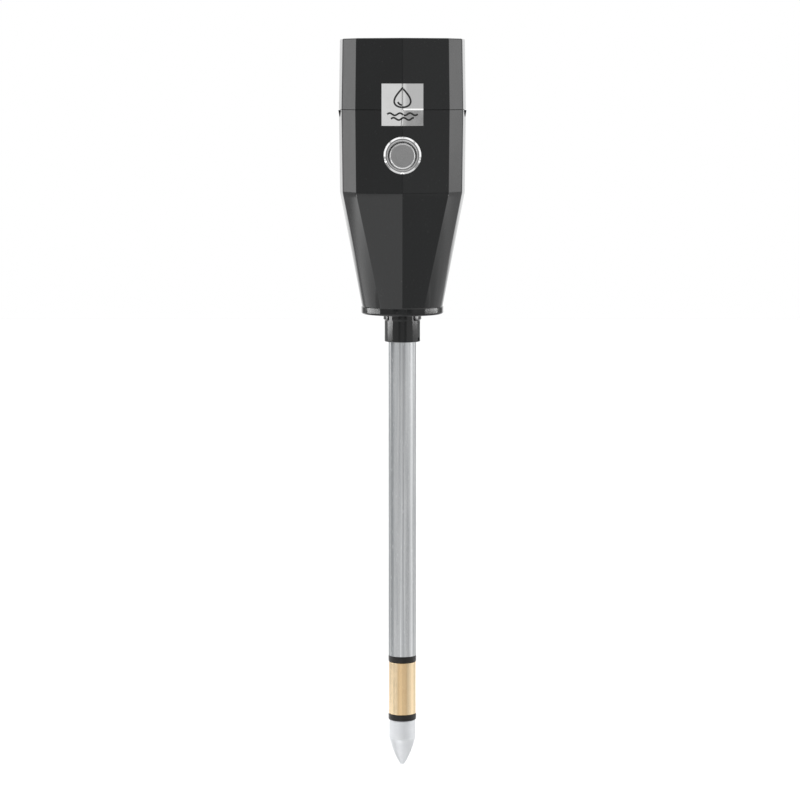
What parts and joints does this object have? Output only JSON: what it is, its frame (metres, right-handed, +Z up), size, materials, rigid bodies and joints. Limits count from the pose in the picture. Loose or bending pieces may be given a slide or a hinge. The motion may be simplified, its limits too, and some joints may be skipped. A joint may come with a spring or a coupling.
{
  "type": "soil moisture meter",
  "caption": "Hand-held soil moisture meter: faceted black head with a dial in its top end and a chrome push button, on a round metal probe with a brass ring electrode and a bullet tip.",
  "frame": {"origin": "the probe's tip, on the probe's axis", "axes": "+Z runs up the probe to the dial, -Y is the front with the push button, +X is to the right as the button is faced"},
  "size_m": [0.0512, 0.0543, 0.295],
  "materials": {
    "black_gloss_plastic": "gloss moulded",
    "black_plastic": "matte moulded",
    "seal_rubber": "matte",
    "chrome_plate": "polished",
    "satin_chrome": "satin",
    "silver_foil": "foil",
    "drawn_tube": "drawn",
    "electrode_brass": "turned",
    "pale_electrode": "cast and turned",
    "small_brass": "bright",
    "steel": "plain",
    "copper_winding": "enamelled copper",
    "coil_aluminium": "plain",
    "window_clear": "clear",
    "dial_print": "satin",
    "pointer_red": "satin",
    "nylon": "natural",
    "board": "laminate",
    "resistor_lacquer": "lacquered",
    "red_insulation": "wire",
    "black_insulation": "wire",
    "yellow_insulation": "wire"
  },
  "bodies": {
    "meter": {"upper_housing": "black_gloss_plastic", "lower_housing": "black_gloss_plastic", "foil_label": "silver_foil", "dial_window": "window_clear", "dial_surround": "black_plastic", "dial_plate": "dial_print", "dial_screw_left": "steel", "dial_screw_right": "steel", "movement_frame": "black_plastic", "movement_yoke": "steel", "core_magnet": "steel", "core_pin": "small_brass", "upper_bridge": "small_brass", "bridge_screw_left": "steel", "bridge_screw_right": "steel", "lower_bridge": "small_brass", "upper_pivot_screw": "small_brass", "lower_pivot_screw": "small_brass", "upper_hairspring": "small_brass", "lower_hairspring": "small_brass", "stop_pin_low": "small_brass", "stop_pin_high": "small_brass", "button_bezel": "chrome_plate", "button_seal": "seal_rubber", "button_spring": "steel", "button_nut": "steel", "switch_base": "black_plastic", "switch_terminal_left": "small_brass", "switch_terminal_right": "small_brass", "circuit_board": "board", "range_resistor": "resistor_lacquer", "meter_wire_red": "red_insulation", "meter_wire_black": "black_insulation", "tip_wire": "black_insulation", "tube_wire": "yellow_insulation", "ring_wire": "red_insulation", "probe_collar": "black_gloss_plastic", "probe_tube": "drawn_tube", "upper_insulator_ring": "black_plastic", "brass_electrode": "electrode_brass", "lower_insulator_ring": "black_plastic", "tip_electrode": "pale_electrode", "rod_sleeve": "nylon", "tie_rod": "steel", "tube_plug": "black_plastic", "tube_tag": "small_brass", "tip_tag": "small_brass", "rod_washer": "steel", "rod_nut": "steel"},
    "button": {"button_cap": "satin_chrome", "switch_plunger": "nylon", "contact_bridge": "small_brass"},
    "pointer_coil": {"coil_former": "coil_aluminium", "coil_winding": "copper_winding", "upper_staff": "steel", "lower_staff": "steel", "pointer": "pointer_red", "balance_weight": "steel"},
    "zero_lever": {"zero_arm": "small_brass"}
  },
  "joints": [
    {"name": "button_press", "type": "slide", "parent": "meter", "child": "button", "axis": [0, 1, 0], "range_m": [0, 0.0016], "stiffness_N_per_m": 1200, "springref_m": -0.001, "deforming": ["button_spring"]},
    {"name": "pointer_swing", "type": "hinge", "parent": "meter", "child": "pointer_coil", "pos_m": [0, -0.0065, 0.28], "axis": [0, 0, -1], "range_deg": [0, 90], "stiffness_Nm_per_rad": 0.000002},
    {"name": "zero_adjust", "type": "hinge", "parent": "meter", "child": "zero_lever", "pos_m": [0, -0.0065, 0.2905], "axis": [0, 0, 1], "range_deg": [-12, 12]}
  ]
}
